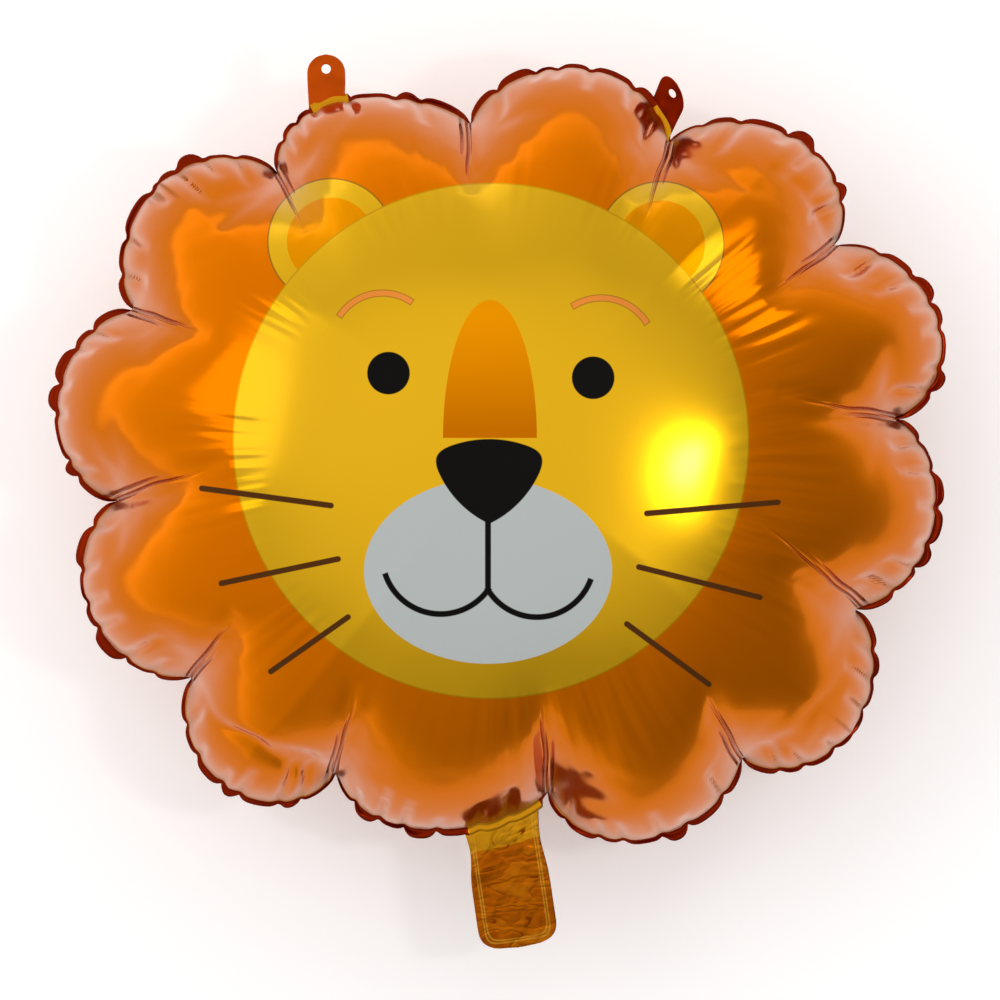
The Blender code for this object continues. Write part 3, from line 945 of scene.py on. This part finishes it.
inputs = {"Vector": slanted, "Scale": 1 / CRINKLE_SPACING, "Detail": 2.0, "Distortion": CRINKLE_TWIST}
crinkles = add_node(tree, "ShaderNodeTexNoise", inputs).outputs[0]
ridge = calculate("ABSOLUTE", calculate("SUBTRACT", crinkles, 0.5))
browns = add_node(tree, "ShaderNodeValToRGB", {0: crinkles})
for position, hex_colour in SEALED_BROWNS:
    stop = browns.color_ramp.elements.new(position)
    stop.color = linear(hex_colour)
browns.color_ramp.elements.remove(browns.color_ramp.elements[0])
browns.color_ramp.elements.remove(browns.color_ramp.elements[-1])
breaks = add_node(tree, "ShaderNodeTexNoise", {"Vector": film_place, "Scale": BREAKS_PER_METRE})
crinkle_shade = calculate("MULTIPLY", rise(ridge, *CRINKLE_SHADE_LINE), rise(breaks.outputs[0], *BREAKS))
from_body = calculate("MULTIPLY_ADD", crinkles, GOLD_SWAY, film_axes[1])
near_body = rise(from_body, GOLD_TO + GOLD_EDGE, GOLD_TO)
side_edge = calculate("SUBTRACT", calculate("ABSOLUTE", film_axes[0]), NECK_WIDTH / 2)
end_edge = calculate("SUBTRACT", film_axes[1], NECK_LENGTH)
edge = calculate("SMOOTH_MAX", side_edge, end_edge, SEAL_CORNER)
seal = 0.0
for inside in SEAL_LINES:
    off_line = calculate("ABSOLUTE", calculate("ADD", edge, inside))
    seal = calculate("MAXIMUM", seal, rise(off_line, SEAL_HALF_WIDTH * 2, SEAL_HALF_WIDTH))
ink = (browns.outputs[0], FILM)
ink = lay_ink(ink, near_body, GOLD)
# painted shade: dark brown laid in the crinkles' grooves
ink = lay_ink(ink, crinkle_shade, CRINKLE_SHADE_BROWN)
ink = lay_ink(ink, calculate("MULTIPLY", seal, SEAL_STRENGTH), SEAL_GOLD)
tree.links.new(ink[0], shader.inputs["Base Color"])
shader.inputs["Metallic"].default_value = 1.0
shader.inputs["Roughness"].default_value = SEALED_ROUGHNESS
inputs = {"Height": calculate("MINIMUM", ridge, CRINKLE_RIDGE), "Distance": CRINKLE_DEPTH}
bump = add_node(tree, "ShaderNodeBump", inputs)
tree.links.new(bump.outputs[0], shader.inputs["Normal"])

# The front and back sheet, with their slots for skin, weld and sealed film
for piece, node, name, foil in (
    (front, "front_foil", "printed_foil", printed),
    (back, "back_foil", "plain_foil", plain),
):
    piece.data.materials.append(foil)
    piece.data.materials.append(welded)
    piece.data.materials.append(sealed)
    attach(piece, "root")
    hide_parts(node)

# Two hanging tabs and the filling neck
# Both sheets run on past the weld and are sealed flat to each other: two short tabs above the ears,
# each punched with a round hole, and the long neck below the chin that the gas goes in by.
FLAP_CELL = 0.0008
FLAP_THICKNESS = 0.0004
ROOT_BLEND = 0.008
LEAST_END = 0.05
WAIST_AT = 0.014
NECK_WAIST = 0.09
TAB_RELIEF = 0.0004
TAB_BUMPS_PER_METRE = 90
NECK_RELIEF = 0.0006
NECK_CREASES_PER_METRE = (60, 40)
NECK_RELIEF_FROM = 0.010
HOLE_SIDES = 32
TAB_ORANGE = "#b04408"
TAB_ROUGHNESS = 0.28
edge_line = outline + FACE_CENTRE.x + 1j * FACE_CENTRE.y
tab_film, tree, shader = new_material("sealed_tab_foil")
shader.inputs["Base Color"].default_value = linear(TAB_ORANGE)
shader.inputs["Metallic"].default_value = 1.0
shader.inputs["Roughness"].default_value = TAB_ROUGHNESS


def edge_point(step):
    """A point of the balloon's outer edge."""
    across = complex(at_step(edge_line, step))
    return Vector((across.real, across.imag, WELD_HEIGHT))


def flap_mesh(flap, width, length, end_length, fullness, waist, relief):
    """A flap's two sealed sheets as one flat body that grows out of the weld. relief gives the height
    of a point of it over its own plane, from its place across and along in metres."""
    middle, half_steps = flap_root(flap, width)
    start, end = edge_point(middle - half_steps), edge_point(middle + half_steps)
    root_way = (end - start).normalized()
    root_way.z = 0
    lean = Matrix.Rotation(math.radians(flap["lean"]), 3, "Z")
    outward = lean @ Vector((root_way.y, -root_way.x, 0))
    bend = math.radians(flap["bend"])
    bent = outward * math.cos(bend) + Vector((0, 0, math.sin(bend)))
    end_way = root_way.lerp(lean @ root_way, flap["square"]).normalized()
    normal = end_way.cross(bent).normalized()
    normal *= math.copysign(1, normal.z)
    body = bmesh.new()
    film_of = body.verts.layers.float_vector.new("film")
    columns, rows = round(width / FLAP_CELL), round(length / FLAP_CELL)
    bmesh.ops.create_grid(body, x_segments=columns, y_segments=rows, size=1)
    for vert in body.verts:
        across, along = vert.co.x, (vert.co.y + 1) / 2 * length
        into_end = max(0.0, along - (length - end_length)) / end_length
        narrow = max(LEAST_END, (1 - into_end**fullness) ** (1 / fullness))
        narrow *= 1 - waist * math.exp(-(((along - WAIST_AT) / WAIST_AT) ** 2))
        way = root_way.lerp(end_way, min(1.0, along / (length / 2))).normalized()
        place = (start + end) / 2 + bent * along + way * (across * narrow * width / 2)
        root = edge_point(middle + across * half_steps) - outward * (WELD_WIDTH / 2)
        place = root.lerp(place, float(eased(along / ROOT_BLEND)))
        vert.co = place + normal * relief(across * narrow * width / 2, along)
        vert[film_of] = (across * narrow * width / 2, along, 0)
    bmesh.ops.recalc_face_normals(body, faces=body.faces)
    bmesh.ops.solidify(body, geom=body.faces[:], thickness=FLAP_THICKNESS)
    bmesh.ops.recalc_face_normals(body, faces=body.faces)
    hole_place = (start + end) / 2 + bent * (length - TAB_HOLE_TO_END)
    return body, hole_place, normal


def flap_piece(name, body, film):
    """A flap as a piece of its own, in its film."""
    mesh = bpy.data.meshes.new(name)
    body.to_mesh(mesh)
    body.free()
    mesh.shade_smooth()
    mesh.materials.append(film)
    piece = bpy.data.objects.new(name, mesh)
    bpy.context.scene.collection.objects.link(piece)
    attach(piece, "root")
    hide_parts("front_foil", "back_foil")
    return piece


def tab_relief(across, along):
    """A tab's slight unevenness."""
    place = Vector((across, along, 0)) * TAB_BUMPS_PER_METRE + Vector((0, 0, 0.3))
    return TAB_RELIEF * noise.noise(place)


def neck_relief(across, along):
    """The neck's sharp little creases, which start a little way out from the body."""
    place = Vector((across * NECK_CREASES_PER_METRE[0], along * NECK_CREASES_PER_METRE[1], 1.7))
    creases = noise.ridged_multi_fractal(place, 1.0, 2.0, 3, 1.0, 2.0)
    return NECK_RELIEF * creases * min(1.0, along / NECK_RELIEF_FROM)


def punch(piece, place, normal):
    """Cuts the tab's round hole square through it."""
    cutter_mesh = bmesh.new()
    radius = TAB_HOLE_DIAMETER / 2
    depth = 10 * FLAP_THICKNESS
    bmesh.ops.create_cone(
        cutter_mesh, cap_ends=True, segments=HOLE_SIDES, radius1=radius, radius2=radius, depth=depth
    )
    data = bpy.data.meshes.new("punch")
    cutter_mesh.to_mesh(data)
    cutter_mesh.free()
    cutter = bpy.data.objects.new("punch", data)
    bpy.context.scene.collection.objects.link(cutter)
    cutter.location = place
    cutter.rotation_mode = "QUATERNION"
    cutter.rotation_quaternion = normal.to_track_quat("Z", "X")
    hole = piece.modifiers.new("Hole", "BOOLEAN")
    hole.operation = "DIFFERENCE"
    hole.object = cutter
    evaluated = piece.evaluated_get(bpy.context.evaluated_depsgraph_get())
    piece.data = bpy.data.meshes.new_from_object(evaluated)
    piece.modifiers.clear()
    bpy.data.objects.remove(cutter)


for name, flap in (("left_tab", LEFT_TAB), ("right_tab", RIGHT_TAB)):
    body, hole_place, normal = flap_mesh(
        flap, TAB_WIDTH, TAB_LENGTH, TAB_END_LENGTH, TAB_END_FULLNESS, 0.0, tab_relief
    )
    punch(flap_piece(name, body, tab_film), hole_place, normal)
body, _, _ = flap_mesh(
    NECK, NECK_WIDTH, NECK_LENGTH, NECK_END_LENGTH, NECK_END_FULLNESS, NECK_WAIST, neck_relief
)
flap_piece("neck", body, sealed)

# Studio: a pale floor, a white surround that is darker overhead, and soft lights
FLOOR_SIZE = 8.0
FLOOR_WHITE = "#ffffff"
FLOOR_ROUGHNESS = 0.9
FLOOR_GLOW = 0.1
floor_mesh = bmesh.new()
bmesh.ops.create_grid(floor_mesh, x_segments=1, y_segments=1, size=FLOOR_SIZE / 2)
floor_data = bpy.data.meshes.new("floor")
floor_mesh.to_mesh(floor_data)
floor_mesh.free()
floor = bpy.data.objects.new("floor", floor_data)
bpy.context.scene.collection.objects.link(floor)
pale, tree, shader = new_material("pale_floor")
shader.inputs["Base Color"].default_value = linear(FLOOR_WHITE)
shader.inputs["Roughness"].default_value = FLOOR_ROUGHNESS
shader.inputs["Emission Color"].default_value = linear(FLOOR_WHITE)
shader.inputs["Emission Strength"].default_value = FLOOR_GLOW
floor_data.materials.append(pale)

SURROUND_STRENGTH = 1.25
SURROUND = ((0.0, 1.0), (0.15, 0.82), (0.35, 0.7), (0.6, 0.66), (0.85, 0.66), (1.0, 0.54))
BRIGHTER_TOWARDS = (-0.42, 0.36, 0)
world = bpy.data.worlds.new("studio")
bpy.context.scene.world = world
world.use_nodes = True
tree = world.node_tree
tree.nodes.clear()
direction = add_node(tree, "ShaderNodeTexCoord").outputs["Generated"]
height = add_node(tree, "ShaderNodeSeparateXYZ", {0: direction}).outputs["Z"]
surround = add_node(tree, "ShaderNodeValToRGB", {0: height})
for place, brightness in SURROUND:
    stop = surround.color_ramp.elements.new(place)
    stop.color = (brightness, brightness, brightness, 1)
surround.color_ramp.elements.remove(surround.color_ramp.elements[0])
surround.color_ramp.elements.remove(surround.color_ramp.elements[-1])
towards = calculate("DOT_PRODUCT", direction, BRIGHTER_TOWARDS)
strength = calculate("MULTIPLY_ADD", towards, SURROUND_STRENGTH, SURROUND_STRENGTH)
inputs = {"Color": surround.outputs["Color"], "Strength": strength}
sky = add_node(tree, "ShaderNodeBackground", inputs)
add_node(tree, "ShaderNodeOutputWorld", {"Surface": sky.outputs[0]})

SOFT_LIGHTS = (  # name, place, what it is turned to, width and length, power
    ("right_soft_light", (0.66, -0.01, 2.0), (0.1, 0, WELD_HEIGHT), (0.12, 0.19), 3.0),
    ("left_soft_light", (-1.25, 0.35, 1.75), (-0.1, 0, WELD_HEIGHT), (1.0, 0.9), 2.2),
    ("upper_right_soft_light", (1.2, 1.15, 1.5), (0.1, 0.1, WELD_HEIGHT), (0.6, 1.0), 2.6),
)
for name, place, target, sizes, power in SOFT_LIGHTS:
    lamp = bpy.data.lights.new(name, "AREA")
    lamp.shape = "ELLIPSE"
    lamp.size, lamp.size_y = sizes
    lamp.energy = power
    light = bpy.data.objects.new(name, lamp)
    light.location = place
    light.rotation_mode = "QUATERNION"
    light.rotation_quaternion = (Vector(place) - Vector(target)).to_track_quat("Z", "Y")
    bpy.context.scene.collection.objects.link(light)

# Camera: straight above the face, at the photograph's framing
CAMERA_DISTANCE = 3.0
FRAME_WIDTH = 0.62
FRAME_MIDDLE = (0.0003, -0.0002)
SENSOR_WIDTH = 36
camera_lens = bpy.data.cameras.new("camera")
camera_lens.sensor_width = SENSOR_WIDTH
camera_lens.lens = SENSOR_WIDTH * CAMERA_DISTANCE / FRAME_WIDTH
camera = bpy.data.objects.new("camera", camera_lens)
camera.location = (*FRAME_MIDDLE, WELD_HEIGHT + CAMERA_DISTANCE)
bpy.context.scene.collection.objects.link(camera)
bpy.context.scene.camera = camera
bpy.context.scene.view_settings.view_transform = "Standard"
